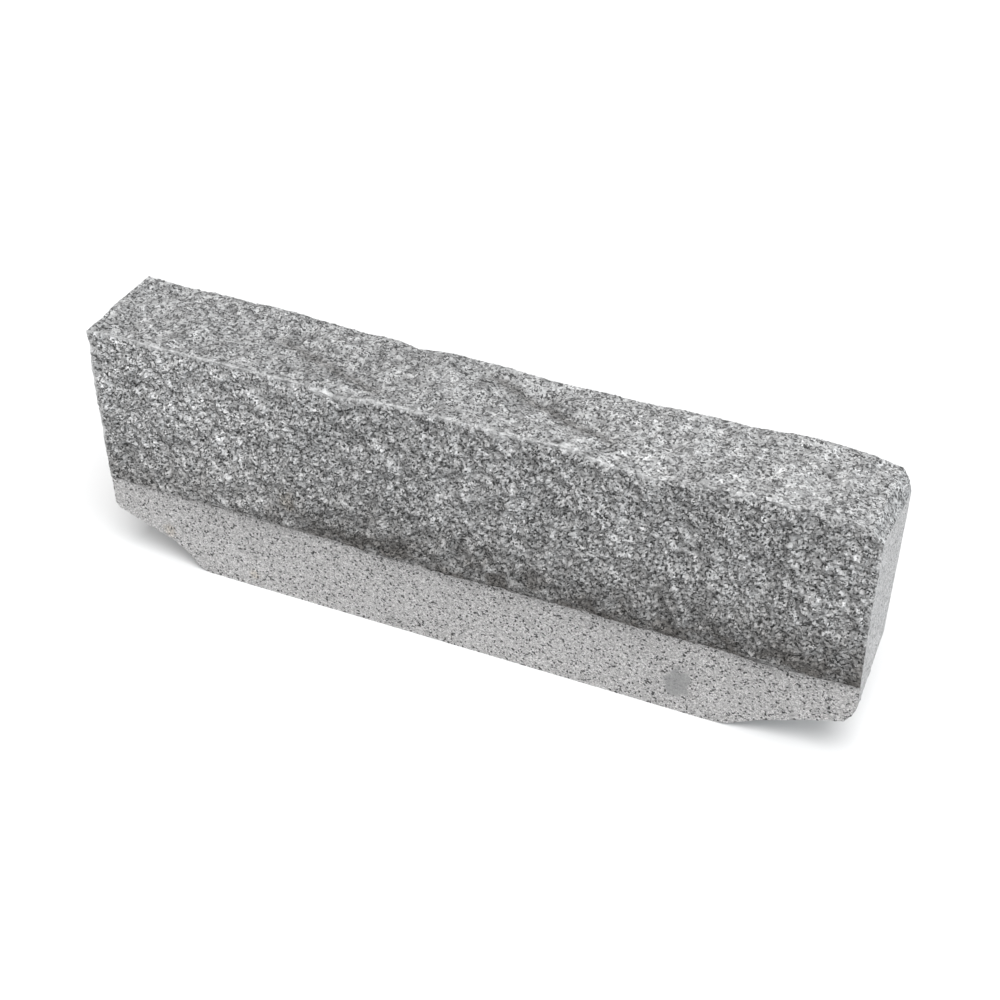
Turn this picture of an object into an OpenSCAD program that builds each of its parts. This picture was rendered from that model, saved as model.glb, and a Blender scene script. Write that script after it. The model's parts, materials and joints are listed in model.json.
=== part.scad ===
// Granite kerb stone: one block, wedge-split on its top, back and underside and hewn on its
// front, then sawn flat on its base, its two ends and a strip along the foot of its front.
// X runs along the kerb, the hewn face looks towards -Y and the base lies on Z = 0.

/* [Block] */
// Length between the two sawn ends
length = 872; // [600:1:1300]
// Height from the sawn base to the highest point of the split top
height = 303; // [250:1:400]
// Width of the top, from the plane of the sawn strip to the furthest point of the back
top_width = 120; // [100:1:200]
// Width of the base behind the plane of the sawn strip
base_width = 80; // [60:1:100]
// Height below which the split back leans in towards the base
lean_height = 235; // [160:1:245]

/* [Front] */
// Height of the sawn strip along the foot of the front
strip_height = 104; // [60:1:150]
// How far the belly of the hewn face stands out from the sawn strip at its proudest point
hewn_proud = 14; // [6:0.5:20]
// How far the top edge of the hewn face stands out from the plane of the sawn strip
arris_proud = 2.5; // [1:0.5:5]
// Height of the belly above the sawn strip
belly_height = 45; // [20:1:70]
// Share of the belly that is left at the lip, where the hewn face meets the saw cut
lip_share = 0.45; // [0.2:0.05:1]

/* [Broken corners] */
// Distance from the left end at which the broken underside meets the base
left_break_length = 118; // [60:1:200]
// Height of the break at the front edge of the left end
left_break_rise = 66; // [30:1:90]
// Distance from the right end at which the broken underside meets the base
right_break_length = 142; // [60:1:200]
// Height of the break at the front edge of the right end
right_break_rise = 76; // [30:1:90]
// Share by which a break climbs on its way from the front to the back
break_climb = 0.3; // [0:0.05:0.6]
// Depth of the waves on a break where it reaches the back, as a share of its height
break_wave = 0.15; // [0:0.05:0.3]

/* [Split and hewn relief] */
// Depth of the waves on the hewn face
hewn_wave = 4.5; // [0:0.5:8]
// Distance between the waves on the hewn face
hewn_pitch = 44; // [30:1:100]
// Angle at which the ridges of the hewn face climb
hewn_climb = 40; // [0:5:90]
// Depth of the waves on the split top
top_wave = 6; // [0:0.5:10]
// Distance between the waves on the split top
top_pitch = 55; // [30:1:120]
// Depth of the waves on the split back
back_wave = 6; // [0:0.5:12]
// Distance between the waves on the split back
back_pitch = 75; // [40:1:150]
// Size of one facet of the relief
facet = 14; // [12:1:40]

/* [Hidden] */

// Planes across the width: the proudest hewn point, the sawn strip and the furthest point of the back
front_y = -(top_width + hewn_proud) / 2;
strip_y = front_y + hewn_proud;
back_y = strip_y + top_width;

// Stone that the saw takes off the ends and the base, and how far a saw cut reaches past the stone
end_waste = 14;
base_waste = 9;
saw_room = 20;
// Least that the hewn face stands out from the plane of the sawn strip
least_proud = 1;
// Corners that the lattice of the relief has each way, and the first seed of each surface
lattice = 64;
hewn_seed = 1;
top_seed = 9;
back_seed = 5;
break_seed = 7;
// Rows of points from the lip up to the belly: heights above the sawn strip, as shares of belly_height
lip_rows = [-0.05, 0.03, 0.15, 0.35, 0.65];

// Belly of the hewn face: [place along the length, share of hewn_proud]
hewn_belly = [
    [-0.5, 0.15], [-0.34, 0.5], [-0.14, 0.8], [-0.02, 1.1], [0.06, 1],
    [0.14, 0.85], [0.25, 0.95], [0.36, 0.8], [0.43, 0.9], [0.5, 0.6]
];

// Setback of the back edge of the top: [place along the length, setback]
back_setback = [[-0.5, 0], [-0.26, 3], [-0.05, 8], [0.13, 14], [0.3, 11], [0.41, 4], [0.5, 2]];

// Outline of each broken corner: [share of its length, share of its rise], from the end inwards
left_outline = [[0, 1], [0.05, 0.9], [0.62, 0.52], [0.76, 0.35], [0.88, 0.12], [1, 0]];
right_outline = [[0, 1], [0.03, 0.8], [0.08, 0.68], [0.32, 0.54], [0.65, 0.29], [0.92, 0.05], [1, 0]];

// Flakes struck off the top: [centre x, centre y, half length, half width, depth, turn]
flakes = [
    [205, strip_y + 5, 105, 70, 10, 0],
    [80, strip_y + 50, 150, 34, 6, -25],
    [-135, strip_y, 50, 40, 7, 0],
    [-185, strip_y + 42, 120, 30, 6, -20],
    [-length / 2 + 25, strip_y + 28, 60, 24, 5, 0],
    [-92, back_y - 6, 45, 30, 6, 0],
    [length / 2 + 20, back_y + 10, 90, 150, 27, 0],
    [length / 2 + 2, back_y, 22, 300, 44, 0]
];

function clamp(v, low, high) = min(max(v, low), high);
function mix(a, b, t) = a + (b - a) * t;
function ease(t) = t * t * (3 - 2 * t);

// Repeatable number from -1 to 1 for the corner i, j of a square lattice
function knock(i, j, seed) = rands(-1, 1, 1, (seed * lattice + i) * lattice + j)[0];

// Smooth waves from -1 to 1, with corners of the lattice a pitch apart
function waves(u, v, pitch, seed) =
    let (
        i = floor(u / pitch),
        j = floor(v / pitch),
        a = ease(u / pitch - i),
        b = ease(v / pitch - j)
    )
    mix(
        mix(knock(i, j, seed), knock(i + 1, j, seed), a),
        mix(knock(i, j + 1, seed), knock(i + 1, j + 1, seed), a),
        b
    );

// Waves with smaller ones of half the pitch on them, from -1 to 1
function rough_waves(u, v, pitch, seed) =
    (2 * waves(u, v, pitch, seed) + waves(u, v, pitch / 2, seed + 1)) / 3;

// Front of the block: a hewn face that swells from its top edge down to its belly and falls back to its lip
function hewn_y(x, z) =
    let (
        belly_z = strip_height + belly_height,
        up = clamp((z - belly_z) / (height - belly_z), 0, 1),
        under = clamp((belly_z - z) / belly_height, 0, 1),
        belly = hewn_proud * lookup(x / length, hewn_belly) * mix(1, lip_share, pow(under, 1.5)),
        along = x * cos(hewn_climb) + z * sin(hewn_climb),
        across = z * cos(hewn_climb) - x * sin(hewn_climb),
        calm = mix(1, lip_share, max(under, pow(up, 4))),
        wave = hewn_wave * calm * rough_waves(along / 1.5, across, hewn_pitch, hewn_seed)
    )
    strip_y - clamp(mix(belly, arris_proud, up) + wave, least_proud, hewn_proud);

// Depth of one flake, steepest at its middle
function flake_depth(x, y, flake) =
    let (
        dx = x - flake[0],
        dy = y - flake[1],
        along = dx * cos(flake[5]) + dy * sin(flake[5]),
        across = dy * cos(flake[5]) - dx * sin(flake[5]),
        r = norm([along / flake[2], across / flake[3]])
    )
    flake[4] * pow(max(0, 1 - r), 2);

// Split top of the block
function top_z(x, y) =
    height - top_wave * (1 + rough_waves(x, y, top_pitch, top_seed)) / 2
    - max([for (flake = flakes) flake_depth(x, y, flake)]);

// Split back of the block, which leans in below lean_height
function split_back_y(x, z) =
    let (
        lean = (top_width - base_width) * max(0, 1 - z / lean_height),
        wave = back_wave * (1 + rough_waves(x, z, back_pitch, back_seed)) / 2
    )
    back_y - lookup(x / length, back_setback) - lean - wave * clamp((height - z) / back_pitch, 0, 1);

// Height of a broken corner, at a distance from its end
function break_z(distance, outline, break_length, rise) =
    let (share = distance / break_length)
    share > 1 ? -base_waste * min(1, (share - 1) * break_length / facet)
    : rise * lookup(share, outline);

// Underside of the block: broken upwards at both ends, and below the base between them
function under_z(x, across) =
    let (
        left = break_z(length / 2 + x, left_outline, left_break_length, left_break_rise),
        right = break_z(length / 2 - x, right_outline, right_break_length, right_break_rise),
        z = max(left, right),
        wave = waves(x, across * base_width, top_pitch, break_seed)
    )
    z > 0 ? z * (1 + across * (break_climb + break_wave * wave)) : z;

// Even steps from a to b, without b
function steps(a, b) =
    let (n = max(1, round((b - a) / facet)))
    [for (i = [0 : n - 1]) mix(a, b, i / n)];

// Places of the sections along the length: one at each corner of the broken outlines, and even steps between
section_keys = concat(
    [-length / 2 - end_waste],
    [for (p = left_outline) -length / 2 + p[0] * left_break_length],
    [for (i = [len(right_outline) - 1 : -1 : 0]) length / 2 - right_outline[i][0] * right_break_length],
    [length / 2 + end_waste]
);
sections = concat(
    [for (i = [0 : len(section_keys) - 2]) each steps(section_keys[i], section_keys[i + 1])],
    [length / 2 + end_waste]
);

// One section of the block: up the front, back over the top, down the back and forward along the underside
face_steps = round((height - strip_height - belly_height) / facet);
back_steps = round(height / facet);
top_steps = round(top_width / facet);
under_steps = round(base_width / facet);
function section(x) =
    let (
        foot = [hewn_y(x, under_z(x, 0)), under_z(x, 0)],
        heel = [split_back_y(x, under_z(x, 1)), under_z(x, 1)],
        arris = [hewn_y(x, height), top_z(x, hewn_y(x, height))],
        crest = [split_back_y(x, height), top_z(x, split_back_y(x, height))],
        lip_z = max(strip_height, foot[1] + facet),
        belly_z = lip_z + belly_height
    )
    concat(
        [[x, foot[0], foot[1]]],
        [for (row = lip_rows) let (z = lip_z + row * belly_height) [x, hewn_y(x, z), z]],
        [for (i = [0 : face_steps - 1])
            let (z = mix(belly_z, arris[1], i / face_steps)) [x, hewn_y(x, z), z]],
        [for (i = [0 : top_steps - 1])
            let (y = mix(arris[0], crest[0], i / top_steps)) [x, y, top_z(x, y)]],
        [for (i = [0 : back_steps - 1])
            let (z = mix(crest[1], heel[1], i / back_steps)) [x, split_back_y(x, z), z]],
        [for (i = [0 : under_steps - 1])
            let (across = 1 - i / under_steps) [x, mix(foot[0], heel[0], across), under_z(x, across)]]
    );

// The block as it comes off the wedges: a skin over all the sections
module split_block() {
    rings = [for (x = sections) section(x)];
    n = len(rings[0]);
    last = len(rings) - 1;
    middles = [for (i = [0, last]) [sections[i], 0, height / 2]];
    polyhedron(
        points = concat([for (ring = rings) each ring], middles),
        faces = [
            for (i = [0 : last - 1], j = [0 : n - 1])
                let (a = i * n + j, b = i * n + (j + 1) % n)
                each [[a, b, b + n], [a, b + n, a + n]],
            for (j = [0 : n - 1])
                let (k = (j + 1) % n)
                each [[k, j, (last + 1) * n], [last * n + j, last * n + k, (last + 1) * n + 1]]
        ],
        convexity = 4
    );
}

// Waste below the base
module base_cut() {
    span = length + 2 * (end_waste + saw_room);
    depth = top_width + hewn_proud + 2 * saw_room;
    translate([-span / 2, -depth / 2, -base_waste - saw_room])
        cube([span, depth, base_waste + saw_room]);
}

// Waste in front of the sawn strip
module strip_cut() {
    span = length + 2 * (end_waste + saw_room);
    translate([-span / 2, front_y - saw_room, -base_waste - saw_room])
        cube([span, hewn_proud + saw_room, strip_height + base_waste + saw_room]);
}

// Waste beyond one end: side is -1 for the left end and 1 for the right
module end_cut(side) {
    depth = top_width + hewn_proud + 2 * saw_room;
    translate([side * (length + end_waste + saw_room) / 2, 0, height / 2])
        cube([end_waste + saw_room, depth, height + 2 * (base_waste + saw_room)], center = true);
}

module kerb_stone() {
    color("darkgray")
        difference() {
            split_block();
            base_cut();
            strip_cut();
            for (side = [-1, 1]) end_cut(side);
        }
}

kerb_stone();
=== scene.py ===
"""Looks of a granite kerb stone: one block with split, hewn and sawn faces on a pale studio floor."""
import json
import math

import bmesh
import bpy
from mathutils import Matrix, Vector, kdtree, noise


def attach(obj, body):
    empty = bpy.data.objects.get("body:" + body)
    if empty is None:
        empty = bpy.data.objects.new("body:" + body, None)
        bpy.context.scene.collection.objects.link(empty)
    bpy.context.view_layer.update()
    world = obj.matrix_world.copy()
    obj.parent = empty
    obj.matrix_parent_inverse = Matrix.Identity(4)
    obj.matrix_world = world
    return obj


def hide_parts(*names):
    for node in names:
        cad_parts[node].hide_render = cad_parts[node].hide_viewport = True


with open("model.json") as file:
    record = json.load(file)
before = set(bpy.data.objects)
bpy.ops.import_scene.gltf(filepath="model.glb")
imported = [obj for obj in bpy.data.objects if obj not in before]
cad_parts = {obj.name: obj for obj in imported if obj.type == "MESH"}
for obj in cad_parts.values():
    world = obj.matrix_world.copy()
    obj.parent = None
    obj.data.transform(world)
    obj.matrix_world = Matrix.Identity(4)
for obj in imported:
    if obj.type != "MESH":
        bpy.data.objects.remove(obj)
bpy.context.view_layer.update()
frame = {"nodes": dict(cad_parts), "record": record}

MM = 0.001

# Places that the frame gives, in metres
mounts = {mount["name"]: Vector(mount["pos_m"]) for mount in frame["record"]["mounts"]}
LEFT_X = mounts["left_end"].x
RIGHT_X = mounts["right_end"].x
BASE_Z = mounts["base"].z
STRIP_Y = mounts["sawn_strip"].y
ON_PLANE = 0.05 * MM
MERGE_GAP = 0.01 * MM
# Faces of the top lie above this height, with normals that point upwards by this much
TOP_FROM = 200 * MM
TOP_UPWARD = 0.25
# Faces that look to the front have normals that point forward by this much
FRONT_FORWARD = 0.9

# Finish of a face
SAWN, HEWN, TOP, BACK = range(4)

# Cuts that the rough facets get on all sides, and once more on the front and the top
COARSE_CUTS = 2
FINE_CUTS = 1

# Relief of each finish: lumps as [size, height], and broken crystals as [size, slope, height]
LUMPS = {
    HEWN: [(18 * MM, 4.6 * MM), (8 * MM, 2.4 * MM)],
    TOP: [(24 * MM, 4.2 * MM), (9 * MM, 1.8 * MM)],
    BACK: [(20 * MM, 2.4 * MM), (9 * MM, 1.0 * MM)],
}
CRYSTALS = {
    HEWN: (6 * MM, 0.6, 1.2 * MM),
    TOP: (6 * MM, 0.25, 0.5 * MM),
    BACK: (9 * MM, 0.4, 0.8 * MM),
}
# Cells that a crystal's size is split into, from one of which it takes its tilt
TILT_CELLS = 8
# How far a point strays, over what distance that changes, and the seed that gives the same stone each run
STRAY = 0.7 * MM
STRAY_SIZE = 2 * MM
STRAY_SEED = 1
# How far the hewn face stays proud of the sawn strip
LEAST_PROUD = 0.4 * MM

# Troughs that flakes left across the top, from start to end of the near rim. The near wall falls away to the
# back over a width, the bottom rises again behind it, and the depth builds up over a sixth of the length.
TROUGHS = [(Vector((-262 * MM, 16 * MM)), Vector((-80 * MM, -52 * MM))),
           (Vector((-26 * MM, 41 * MM)), Vector((171 * MM, -40 * MM)))]
TROUGH_DEPTH = 7 * MM
TROUGH_WALL = 20 * MM
TROUGH_REACH = 25 * MM
TROUGH_TAPER = 6

# Edges between two finishes, along which a share of the relief is lost
CALM_WIDTH = 7 * MM
CALM_SHARE = 0.75
# Light bruise along the top and the ends of the hewn face, dirt and painted shade above its lip, and painted
# shade under the lip
BRUISE_WIDTH = 2.6 * MM
DIRT_AND_SHADE_HEIGHT = 58 * MM
SHADE_HEIGHT = 6 * MM

# Fine-grained grey enclave in the sawn strip
ENCLAVE_PLACE = (249 * MM, STRIP_Y, 40 * MM)
ENCLAVE_SIZE = (15 * MM, 15 * MM, 21 * MM)

# Faint brown stains: [place, radius]
STAINS = [((-366 * MM, STRIP_Y, 47 * MM), 12 * MM), ((-257 * MM, STRIP_Y, 17 * MM), 9 * MM),
          ((-198 * MM, STRIP_Y - 8 * MM, 145 * MM), 16 * MM)]

# Pale bruises on the top and chips on its front edge: [place, radius, share]
BRUISES = [((-33 * MM, 5 * MM, 299 * MM), 24 * MM, 0.12), ((234 * MM, -4 * MM, 299 * MM), 22 * MM, 0.12),
           ((350 * MM, -20 * MM, 299 * MM), 26 * MM, 0.12), ((385 * MM, 9 * MM, 299 * MM), 20 * MM, 0.12),
           ((118 * MM, -49 * MM, 297 * MM), 9 * MM, 0.8), ((-146 * MM, -55 * MM, 297 * MM), 7 * MM, 0.7),
           ((-93 * MM, -62 * MM, 297 * MM), 7 * MM, 0.7)]

# Granite: sizes of its grains and patches
WARP_SIZE = 2 * MM
WARP_SHIFT = 1.4 * MM
GRAIN_SIZE = 1.9 * MM
CLUMP_SIZE = 5 * MM
SAWN_GRAIN_SIZE = 1.15 * MM
PIT_SIZE = 1.5 * MM
MOTTLE_SIZE = 12 * MM
CLOUD_SIZE = 60 * MM
RAGGED_SIZE = 7 * MM
PATCH_SIZE = 11 * MM
BLOTCH_SIZE = 24 * MM
BUMP_HEIGHT = 0.8 * MM

# Greys of the grains by their numbers, and greys that multiply them: [number, grey]
SPLIT_GREYS = [(0.0, 0.04), (0.1, 0.09), (0.25, 0.28), (0.45, 0.55), (0.7, 0.84), (1.0, 1.0)]
SAWN_GREYS = [(0.0, 0.28), (0.3, 0.45), (0.6, 0.57), (1.0, 0.87)]
CLUMP_GREYS = [(0.0, 0.64), (1.0, 1.0)]
HEWN_MOTTLE = [(0.35, 0.68), (0.65, 1.0)]
TOP_MOTTLE = [(0.35, 0.56), (0.65, 1.0)]
TOP_LEVELS = [(0.0, 0.81), (1.0, 0.93)]
CLOUD_GREYS = [(0.3, 0.9), (0.7, 1.0)]
# A grain of a sawn face starts to be a mica speck at the first number, and is one from the second down
MICA = (0.18, 0.06)

# Stretches of the length, from left to right, over which the hewn face gets darker with painted shade and
# more dirt and painted shade above its lip, the top gets lighter and the bruised edge breaks up
HEWN_SHADE_STRETCH = (-320 * MM, -80 * MM)
LIGHTER = (-50 * MM, 200 * MM)
BROKEN = (100 * MM, 200 * MM)
# Grey of the painted shade that darkens the hewn face towards the right
HEWN_SHADE_GREY = 0.81

# Greys that are laid over the granite, and colours that multiply it
MICA_GREY = 0.05
SHADE_GREY = 0.1
ENCLAVE_GREY = 0.3
HAZE_GREY = 0.4
EDGE_BRUISE_GREY = 0.72
BRUISE_GREY = 0.78
WARM = (1.0, 0.98, 0.975, 1)
# The dark colour below stands for dirt and painted shade above the lip, and for painted shade on the near
# walls of the troughs
DIRT_AND_SHADE = (0.4, 0.38, 0.36, 1)
STAIN = (0.97, 0.9, 0.8, 1)

# Share of each of these where it is strongest
HAZE_SHARE = 0.1
SHADE_SHARE = 0.4
ENCLAVE_SHARE = 0.8
STAIN_SHARE = 0.6
# The next share is of the painted shade on the near walls of the troughs
TROUGH_SHADE_SHARE = 0.6
# Share of the dirt and painted shade above the lip at the left end and where the hewn face is darkest with
# painted shade, and that between the blotches
LEFT_DIRT_AND_SHADE_SHARE = 0.55
RIGHT_DIRT_AND_SHADE_SHARE = 1.0
BETWEEN_BLOTCHES = 0.4
# Share of the bruise along an edge, what it loses where the edge is broken, and what it gains in patches
EDGE_SHARE = 0.35
EDGE_LOSS = 0.3
EDGE_GAIN = 0.5

# Noise between which patches and blotches fade in, and distances, counted in radii, over which spots do
PATCH_NOISE = (0.45, 0.62)
BLOTCH_NOISE = (0.4, 0.6)
SPOT_RIM = (1.0, 0.3)
ENCLAVE_RIM = (1.15, 0.7)
ENCLAVE_RAGGED = 1.6

# Gloss, and the fine pits between the grains
SAWN_ROUGHNESS = 0.55
SPLIT_ROUGHNESS = 0.8
SHINE = 0.3
BUMP_STRENGTH = 0.6
PIT_SHARE = 0.6

# Lamps: [name, direction towards it, level, spread in degrees, colour]
WHITE = (1, 1, 1)
LAMPS = [("overhead", (0.2, -0.35, 0.9), 0.76, 40, WHITE), ("front", (0.3, -0.9, 0.3), 0.36, 60, WHITE),
         ("right_side", (0.95, -0.2, 0.25), 0.44, 40, (0.87, 0.945, 1.0)),
         ("back", (-0.45, 0.75, 0.45), 0.2, 60, WHITE)]
# Light of the white room on the stone, where 1 is what the camera sees
ROOM_LEVEL = 0.3
# Half the side of the floor in metres, its grey, and the darker grey that lights the stone
FLOOR_HALF = 12
FLOOR_GREY = 0.9
FLOOR_DIM_GREY = 0.2

# Camera, from the straight edges of the stone
CAMERA_AZIMUTH = math.radians(23.8)
CAMERA_ELEVATION = math.radians(36.9)
CAMERA_DISTANCE = 1797.6 * MM
CAMERA_TARGET = Vector((48.3 * MM, STRIP_Y, 215.7 * MM))
CAMERA_LENS = 63.73
CAMERA_SENSOR = 36


class Link:
    """An output of a shader node. Arithmetic on it adds Math nodes to the same material."""

    def __init__(self, board, socket):
        self.board = board
        self.socket = socket

    def maths(self, operation, *values):
        settings = {"operation": operation}
        return self.board.node("ShaderNodeMath", settings, dict(enumerate(values)))["Value"]

    def __add__(self, other):
        return self.maths("ADD", self, other)

    __radd__ = __add__

    def __sub__(self, other):
        return self.maths("SUBTRACT", self, other)

    def __rsub__(self, other):
        return self.maths("SUBTRACT", other, self)

    def __mul__(self, other):
        return self.maths("MULTIPLY", self, other)

    __rmul__ = __mul__


class Board:
    """The node tree of one material or world."""

    def __init__(self, owner):
        owner.use_nodes = True
        self.tree = owner.node_tree
        self.tree.nodes.clear()

    def node(self, kind, settings=None, inputs=None):
        node = self.tree.nodes.new(kind)
        for name, value in (settings or {}).items():
            if name == "stops":
                self.set_stops(node.color_ramp, value)
            else:
                setattr(node, name, value)
        for name, value in (inputs or {}).items():
            if isinstance(value, Link):
                self.tree.links.new(value.socket, node.inputs[name])
            else:
                node.inputs[name].default_value = value
        return {socket.identifier if socket.name == "Result" else socket.name: Link(self, socket)
                for socket in node.outputs}

    @staticmethod
    def set_stops(ramp, stops):
        while len(ramp.elements) < len(stops):
            ramp.elements.new(1.0)
        for element, (place, tone) in zip(ramp.elements, stops):
            element.position = place
            element.color = grey(tone)

    def ramp(self, value, stops):
        return self.node("ShaderNodeValToRGB", {"stops": stops}, {"Fac": value})["Color"]

    def blend(self, share, first, second, way="MIX"):
        """Colour that goes from first to second as share goes from 0 to 1."""
        settings = {"data_type": "RGBA", "blend_type": way}
        inputs = {"Factor": share, 6: first, 7: second}
        return self.node("ShaderNodeMix", settings, inputs)["Result_Color"]

    def multiply(self, first, second):
        return self.blend(1.0, first, second, "MULTIPLY")

    def fade(self, value, low, high):
        """0 where value is at low, 1 where it is at high, and smooth between."""
        settings = {"interpolation_type": "SMOOTHSTEP"}
        inputs = {"Value": value, "From Min": low, "From Max": high}
        return self.node("ShaderNodeMapRange", settings, inputs)["Result"]

    def noise(self, coords, size, detail=1.0):
        """Soft noise with lumps of a size."""
        return self.node("ShaderNodeTexNoise", {}, {"Vector": coords, "Scale": 1 / size, "Detail": detail})

    def grains(self, coords, size):
        """Grains of a size: a number for each grain, and the distance from its middle."""
        cells = self.node("ShaderNodeTexVoronoi", {"feature": "F1"}, {"Vector": coords, "Scale": 1 / size})
        number = self.node("ShaderNodeSeparateColor", {}, {"Color": cells["Color"]})["Red"]
        return number, cells["Distance"]

    def vector(self, operation, *values):
        return self.node("ShaderNodeVectorMath", {"operation": operation}, dict(enumerate(values)))

    def attribute(self, name):
        return self.node("ShaderNodeAttribute", {"attribute_name": name})["Fac"]

    def spot(self, coords, place, size):
        """Distance from place, counted in sizes."""
        scaled = self.vector("DIVIDE", self.vector("SUBTRACT", coords, place)["Vector"], size)["Vector"]
        return self.vector("LENGTH", scaled)["Value"]


def grey(tone):
    return (tone, tone, tone, 1)


# The stone's mesh

def lip_height(stone):
    """Height at which the sawn strip ends under the lip of the hewn face."""
    return max(v.co.z for v in stone.verts if abs(v.co.y - STRIP_Y) < ON_PLANE and v.co.z < TOP_FROM)


def merge_sawn_faces(stone, lip_z):
    """Makes one face of each sawn plane, and returns these faces."""
    planes = [(0, LEFT_X), (0, RIGHT_X), (1, STRIP_Y), (2, BASE_Z), (2, lip_z)]
    merged = []
    for axis, place in planes:
        flat = [face for face in stone.faces if all(abs(v.co[axis] - place) < ON_PLANE for v in face.verts)]
        merged += bmesh.ops.dissolve_faces(stone, faces=flat, use_verts=False)["region"]
    return merged


def mark_finish(stone, lip_z):
    """Gives each face the number of its finish."""
    finish = stone.faces.layers.int.new("finish")
    sawn = merge_sawn_faces(stone, lip_z)
    for face in stone.faces:
        middle = face.calc_center_median()
        if middle.z > TOP_FROM and face.normal.z > TOP_UPWARD:
            face[finish] = TOP
        else:
            face[finish] = HEWN if middle.y < STRIP_Y else BACK
    for face in sawn:
        face[finish] = SAWN
    return finish


def finishes(edge, finish):
    return {face[finish] for face in edge.link_faces}


def edge_finder(stone, wanted):
    """Finder of the nearest vertex on the edges that are wanted."""
    points = {vert for edge in stone.edges if wanted(edge) for vert in edge.verts}
    finder = kdtree.KDTree(len(points))
    for i, vert in enumerate(sorted(points, key=lambda v: v.co[:])):
        finder.insert(vert.co, i)
    finder.balance()
    return finder


def cut_rough_faces(stone, finish, kinds, cuts):
    """Cuts the edges of the rough faces of some kinds evenly, and leaves triangles."""
    edges = [edge for edge in stone.edges if any(face[finish] in kinds for face in edge.link_faces)]
    bmesh.ops.subdivide_edges(stone, edges=edges, cuts=cuts, use_grid_fill=True, use_single_edge=True)
    rough = [face for face in stone.faces if face[finish] != SAWN]
    bmesh.ops.triangulate(stone, faces=rough, quad_method="SHORT_EDGE")


def in_trough(place, start, end):
    """How far a place lies behind the rim of a trough, and how much of the trough's depth is left there."""
    way = end - start
    along = (place - start).dot(way) / way.length_squared
    behind = way.cross(place - start) / way.length
    if behind <= 0 or not 0 < along < 1:
        return behind, 0
    return behind, min(TROUGH_TAPER * along, TROUGH_TAPER * (1 - along), 1)


def trough_depth(place):
    """Depth of the troughs at a place on the top: deepest at the foot of the near wall."""
    depth = 0
    for rim in TROUGHS:
        behind, share = in_trough(place, *rim)
        if share:
            wall = min(behind / TROUGH_WALL, 1)
            rise = math.exp(-max(behind - TROUGH_WALL, 0) / TROUGH_REACH)
            depth += TROUGH_DEPTH * share * wall * rise
    return depth


def trough_shade(place):
    """Share of painted shade on the near walls of the troughs."""
    painted_shade = 0
    for rim in TROUGHS:
        behind, share = in_trough(place, *rim)
        if share and behind < TROUGH_WALL:
            painted_shade += share * math.sin(math.pi * behind / TROUGH_WALL)
    return painted_shade


def relief_at(place, kind):
    """Height of the rough surface above the CAD surface at a place."""
    height = 0
    for size, lump in LUMPS[kind]:
        height += lump * noise.noise(place / size, noise_basis="PERLIN_ORIGINAL")
    size, slope, thickness = CRYSTALS[kind]
    middle = noise.voronoi(place / size)[1][0]
    tilt = noise.cell_vector(middle * TILT_CELLS) * 2 - Vector((1, 1, 1))
    if kind == TOP:
        height -= trough_depth(place.xy)
    return height + slope * tilt.dot(place - middle * size) + thickness * tilt.x / 2


def roughen(stone, finish):
    """Moves the rough faces by their relief, and keeps every edge of a sawn face in its plane."""
    noise.seed_set(STRAY_SEED)
    borders = edge_finder(stone, lambda edge: len(finishes(edge, finish)) > 1)
    moves = []
    for vert in stone.verts:
        rough = [face for face in vert.link_faces if face[finish] != SAWN]
        if not rough:
            continue
        outward = sum((face.normal * face.calc_area() for face in rough), Vector()).normalized()
        heights = {kind: relief_at(vert.co, kind) for kind in {face[finish] for face in rough}}
        calm = 1 - CALM_SHARE * nearness(borders.find(vert.co)[2], CALM_WIDTH)
        move = outward * (calm * sum(heights[face[finish]] for face in rough) / len(rough))
        move += STRAY * noise.noise_vector(vert.co / STRAY_SIZE)
        for face in vert.link_faces:
            if face[finish] == SAWN:
                move -= face.normal * move.dot(face.normal)
        moves.append((vert, move, HEWN in heights))
    for vert, move, hewn in moves:
        vert.co += move
        vert.co.x = min(max(vert.co.x, LEFT_X), RIGHT_X)
        vert.co.z = max(vert.co.z, BASE_Z)
        if hewn:
            vert.co.y = min(vert.co.y, STRIP_Y - LEAST_PROUD)


def nearness(distance, width):
    """1 at no distance, and falling away over the width."""
    return math.exp(-((distance / width) ** 2))


def mark_wear_and_shade(stone, finish, lip_z):
    """Marks how near each vertex is to a bruised edge, the dirt and painted shade above the lip, and the
    painted shade in the troughs.
    """
    def bruised(edge):
        kinds = finishes(edge, finish)
        at_end = all(min(v.co.x - LEFT_X, RIGHT_X - v.co.x) < ON_PLANE for v in edge.verts)
        return kinds == {HEWN, TOP} or (at_end and HEWN in kinds)

    edges = edge_finder(stone, bruised)
    bruise = stone.verts.layers.float.new("bruise")
    dirt = stone.verts.layers.float.new("dirt")
    for vert in stone.verts:
        vert[bruise] = nearness(edges.find(vert.co)[2], BRUISE_WIDTH)
        kinds = {face[finish] for face in vert.link_faces}
        # Dirt and painted shade above the lip of the hewn face; painted shade on the near walls of the
        # troughs on the top
        if HEWN in kinds:
            vert[dirt] = nearness(vert.co.z - lip_z, DIRT_AND_SHADE_HEIGHT)
        elif TOP in kinds:
            vert[dirt] = trough_shade(vert.co.xy)


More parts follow.
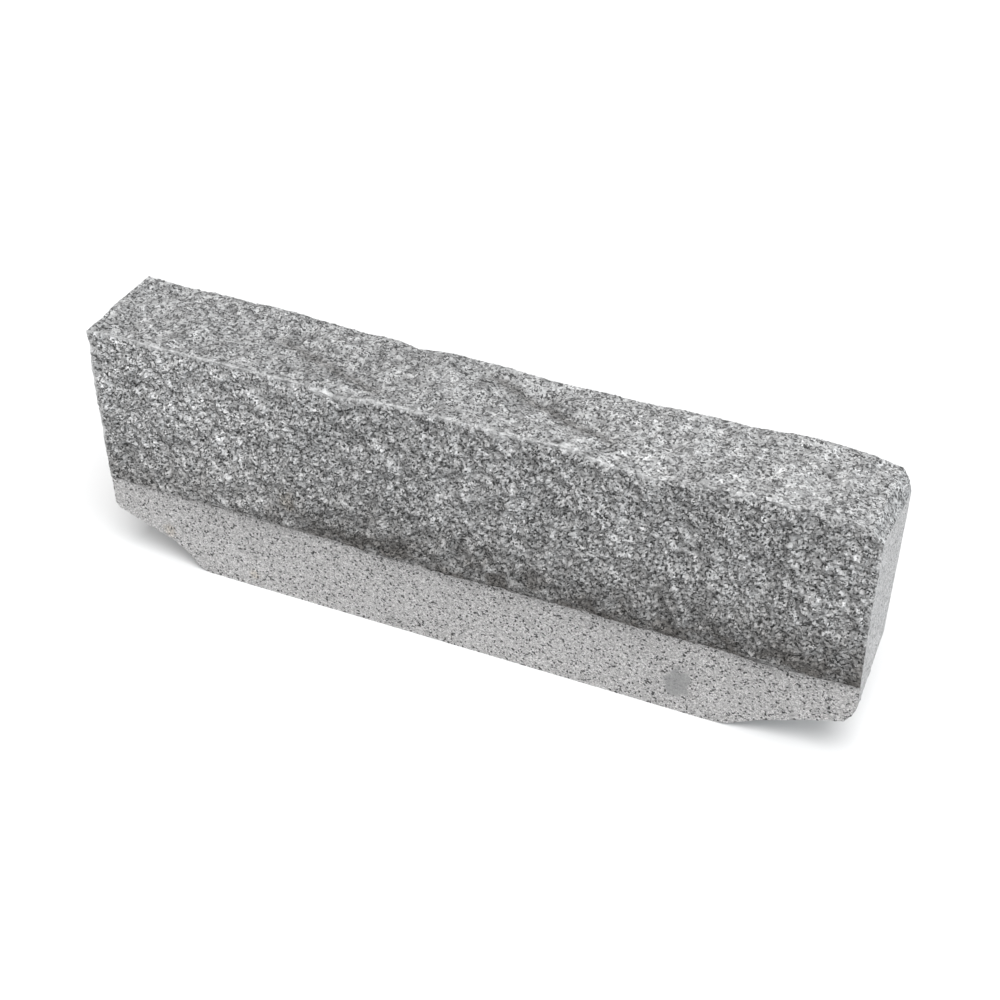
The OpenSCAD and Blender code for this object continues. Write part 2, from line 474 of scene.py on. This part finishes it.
def make_stone():
    """The kerb stone: the CAD block with the fine relief of its split and hewn faces."""
    node = frame["nodes"]["kerb_stone"]
    stone = bmesh.new()
    stone.from_mesh(node.data)
    bmesh.ops.remove_doubles(stone, verts=stone.verts, dist=MERGE_GAP)
    stone.normal_update()
    lip_z = lip_height(stone)
    finish = mark_finish(stone, lip_z)
    cut_rough_faces(stone, finish, {HEWN, TOP, BACK}, COARSE_CUTS)
    cut_rough_faces(stone, finish, {HEWN, TOP}, FINE_CUTS)
    stone.normal_update()
    mark_wear_and_shade(stone, finish, lip_z)
    roughen(stone, finish)
    bmesh.ops.triangulate(stone, faces=[face for face in stone.faces if len(face.verts) > 3])
    rough = stone.faces.layers.float.new("rough")
    hewn = stone.faces.layers.float.new("hewn")
    front = stone.faces.layers.float.new("front")
    for face in stone.faces:
        face[rough] = face[finish] != SAWN
        face[hewn] = face[finish] == HEWN
        face[front] = face.normal.y < -FRONT_FORWARD
        face.smooth = False
    mesh = bpy.data.meshes.new("granite_kerb")
    stone.to_mesh(mesh)
    stone.free()
    piece = bpy.data.objects.new("granite_kerb", mesh)
    bpy.context.scene.collection.objects.link(piece)
    mesh.materials.append(granite(lip_z))
    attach(piece, "root")
    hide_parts("kerb_stone")


# Granite

def split_granite(board, coords, x, grain, clump):
    """Colour of the split faces: coarse and mottled, on the hewn face darker towards the right with painted
    shade.
    """
    hewn = board.attribute("hewn")
    mottle = board.noise(coords, MOTTLE_SIZE, 2.0)["Fac"]
    grains = board.multiply(board.ramp(grain, SPLIT_GREYS), board.ramp(clump, CLUMP_GREYS))

    front = board.multiply(grains, board.ramp(mottle, HEWN_MOTTLE))
    # Painted shade: the hewn face darkens towards the right
    front = board.blend(board.fade(x, *HEWN_SHADE_STRETCH), front, board.multiply(front, grey(HEWN_SHADE_GREY)))

    top_and_back = board.blend(HAZE_SHARE, grains, grey(HAZE_GREY))
    top_and_back = board.multiply(top_and_back, board.ramp(mottle, TOP_MOTTLE))
    top_and_back = board.multiply(top_and_back, board.ramp(board.fade(x, *LIGHTER), TOP_LEVELS))
    return board.blend(hewn, top_and_back, front)


def sawn_granite(board, z, grain, sawn_grain, lip_z):
    """Colour of the sawn faces: pale and fine, with mica specks and a line of shade under the lip."""
    colour = board.ramp(sawn_grain, SAWN_GREYS)
    colour = board.blend(board.fade(grain, *MICA), colour, grey(MICA_GREY))
    colour = board.multiply(colour, WARM)
    under_lip = board.fade(z, lip_z - SHADE_HEIGHT, lip_z)
    return board.blend(SHADE_SHARE * under_lip * board.attribute("front"), colour, grey(SHADE_GREY))


def add_wear_and_shade(board, coords, x, colour):
    """Bruises the edges of the hewn face, lays dirt and painted shade above its lip, and painted shade on the
    top in its troughs.
    """
    rough = board.attribute("rough")
    hewn = board.attribute("hewn")
    patches = board.fade(board.noise(coords, PATCH_SIZE, 3.0)["Fac"], *PATCH_NOISE)
    edge_share = EDGE_SHARE - EDGE_LOSS * board.fade(x, *BROKEN) + EDGE_GAIN * patches
    colour = board.blend(rough * board.attribute("bruise") * edge_share, colour, grey(EDGE_BRUISE_GREY))

    # Dirt and painted shade above the lip, stronger to the right, and painted shade in the troughs of the top
    blotches = board.fade(board.noise(coords, BLOTCH_SIZE, 2.0)["Fac"], *BLOTCH_NOISE)
    lip_share = LEFT_DIRT_AND_SHADE_SHARE + (RIGHT_DIRT_AND_SHADE_SHARE - LEFT_DIRT_AND_SHADE_SHARE) * board.fade(x, *HEWN_SHADE_STRETCH)
    lip_share = lip_share * (BETWEEN_BLOTCHES + (1 - BETWEEN_BLOTCHES) * blotches)
    dirt_and_shade_share = hewn * lip_share + TROUGH_SHADE_SHARE * (1 - hewn)
    return board.blend(rough * board.attribute("dirt") * dirt_and_shade_share, colour, board.multiply(colour, DIRT_AND_SHADE))


def add_spots(board, coords, ragged, colour):
    """Puts the pale bruises on the split faces, and the faint brown stains."""
    rough = board.attribute("rough")
    for place, radius, share in BRUISES:
        pale = board.fade(board.spot(coords, place, (radius,) * 3) + ragged - 0.5, *SPOT_RIM)
        colour = board.blend(share * rough * pale, colour, grey(BRUISE_GREY))
    for place, radius in STAINS:
        stain = board.fade(board.spot(coords, place, (radius,) * 3) + ragged - 0.5, *SPOT_RIM)
        colour = board.blend(STAIN_SHARE * stain, colour, STAIN, "MULTIPLY")
    return colour


def granite(lip_z):
    """Grey granite: feldspar, quartz and mica grains, pale where it is sawn and coarse where it is split."""
    material = bpy.data.materials.new("granite")
    board = Board(material)
    coords = board.node("ShaderNodeTexCoord")["Object"]
    axes = board.node("ShaderNodeSeparateXYZ", {}, {"Vector": coords})
    rough = board.attribute("rough")

    warp = board.noise(coords, WARP_SIZE)["Color"]
    warped = board.vector("MULTIPLY_ADD", warp, (WARP_SHIFT,) * 3, coords)["Vector"]
    grain, from_middle = board.grains(warped, GRAIN_SIZE)
    clump, _ = board.grains(warped, CLUMP_SIZE)
    sawn_grain, _ = board.grains(warped, SAWN_GRAIN_SIZE)
    split = split_granite(board, coords, axes["X"], grain, clump)
    sawn = sawn_granite(board, axes["Z"], grain, sawn_grain, lip_z)
    colour = board.blend(rough, sawn, split)

    clouds = board.noise(coords, CLOUD_SIZE, 2.0)["Fac"]
    colour = board.multiply(colour, board.ramp(clouds, CLOUD_GREYS))
    ragged = board.noise(coords, RAGGED_SIZE, 3.0)["Fac"]
    from_enclave = board.spot(coords, ENCLAVE_PLACE, ENCLAVE_SIZE) + ENCLAVE_RAGGED * (ragged - 0.5)
    enclave = board.fade(from_enclave, *ENCLAVE_RIM)
    colour = board.blend(ENCLAVE_SHARE * enclave * (1 - rough), colour, grey(ENCLAVE_GREY))
    colour = add_wear_and_shade(board, coords, axes["X"], colour)
    colour = add_spots(board, coords, ragged, colour)

    height = PIT_SHARE * board.noise(coords, PIT_SIZE, 2.0)["Fac"] - from_middle
    bump = board.node("ShaderNodeBump", {}, {
        "Strength": BUMP_STRENGTH, "Distance": BUMP_HEIGHT, "Height": height * rough})
    roughness = SAWN_ROUGHNESS + (SPLIT_ROUGHNESS - SAWN_ROUGHNESS) * rough
    surface = board.node("ShaderNodeBsdfPrincipled", {}, {
        "Base Color": colour, "Roughness": roughness, "Normal": bump["Normal"], "Specular IOR Level": SHINE})
    board.node("ShaderNodeOutputMaterial", {}, {"Surface": surface["BSDF"]})
    return material


# Studio

def rays_that_see(board):
    """1 for the rays that show the white room to the camera or in gloss, 0 for those that light the stone."""
    path = board.node("ShaderNodeLightPath")
    return path["Is Camera Ray"].maths("MAXIMUM", path["Is Camera Ray"], path["Is Glossy Ray"])


def make_floor():
    """A plain white floor at the level of the base, which throws little light back at the stone."""
    mesh = bpy.data.meshes.new("floor")
    plane = bmesh.new()
    bmesh.ops.create_grid(plane, x_segments=1, y_segments=1, size=FLOOR_HALF)
    plane.to_mesh(mesh)
    plane.free()
    floor = bpy.data.objects.new("floor", mesh)
    bpy.context.scene.collection.objects.link(floor)
    material = bpy.data.materials.new("pale_floor")
    board = Board(material)
    dim = board.node("ShaderNodeBsdfDiffuse", {}, {"Color": grey(FLOOR_DIM_GREY)})["BSDF"]
    white = board.node("ShaderNodeBsdfDiffuse", {}, {"Color": grey(FLOOR_GREY)})["BSDF"]
    surface = board.node("ShaderNodeMixShader", {}, {0: rays_that_see(board), 1: dim, 2: white})["Shader"]
    board.node("ShaderNodeOutputMaterial", {}, {"Surface": surface})
    mesh.materials.append(material)


def soft_lamp(name, towards, level, spread, colour):
    """A wide, far lamp. At level 1 a white surface that faces it renders white."""
    lamp = bpy.data.lights.new(name, "SUN")
    lamp.energy = level * math.pi
    lamp.angle = math.radians(spread)
    lamp.color = colour
    light = bpy.data.objects.new(name, lamp)
    light.rotation_mode = "QUATERNION"
    light.rotation_quaternion = (-Vector(towards)).to_track_quat("-Z", "Y")
    bpy.context.scene.collection.objects.link(light)


def make_light():
    """Soft light all round from a white room, with a wide lamp above and weaker ones at the sides."""
    world = bpy.data.worlds.new("white_room")
    bpy.context.scene.world = world
    board = Board(world)
    glow = board.node("ShaderNodeBackground", {}, {
        "Color": grey(1.0), "Strength": ROOM_LEVEL + (1 - ROOM_LEVEL) * rays_that_see(board)})
    board.node("ShaderNodeOutputWorld", {}, {"Surface": glow["Background"]})
    for lamp in LAMPS:
        soft_lamp(*lamp)


def make_camera():
    data = bpy.data.cameras.new("camera")
    data.sensor_width = CAMERA_SENSOR
    data.lens = CAMERA_LENS
    camera = bpy.data.objects.new("camera", data)
    bpy.context.scene.collection.objects.link(camera)
    flat = math.cos(CAMERA_ELEVATION)
    back = Vector((
        math.sin(CAMERA_AZIMUTH) * flat, -math.cos(CAMERA_AZIMUTH) * flat, math.sin(CAMERA_ELEVATION)))
    camera.location = CAMERA_TARGET + back * CAMERA_DISTANCE
    camera.rotation_mode = "QUATERNION"
    camera.rotation_quaternion = (-back).to_track_quat("-Z", "Y")
    bpy.context.scene.camera = camera


make_camera()
make_stone()
make_floor()
make_light()
bpy.context.scene.view_settings.view_transform = "Standard"
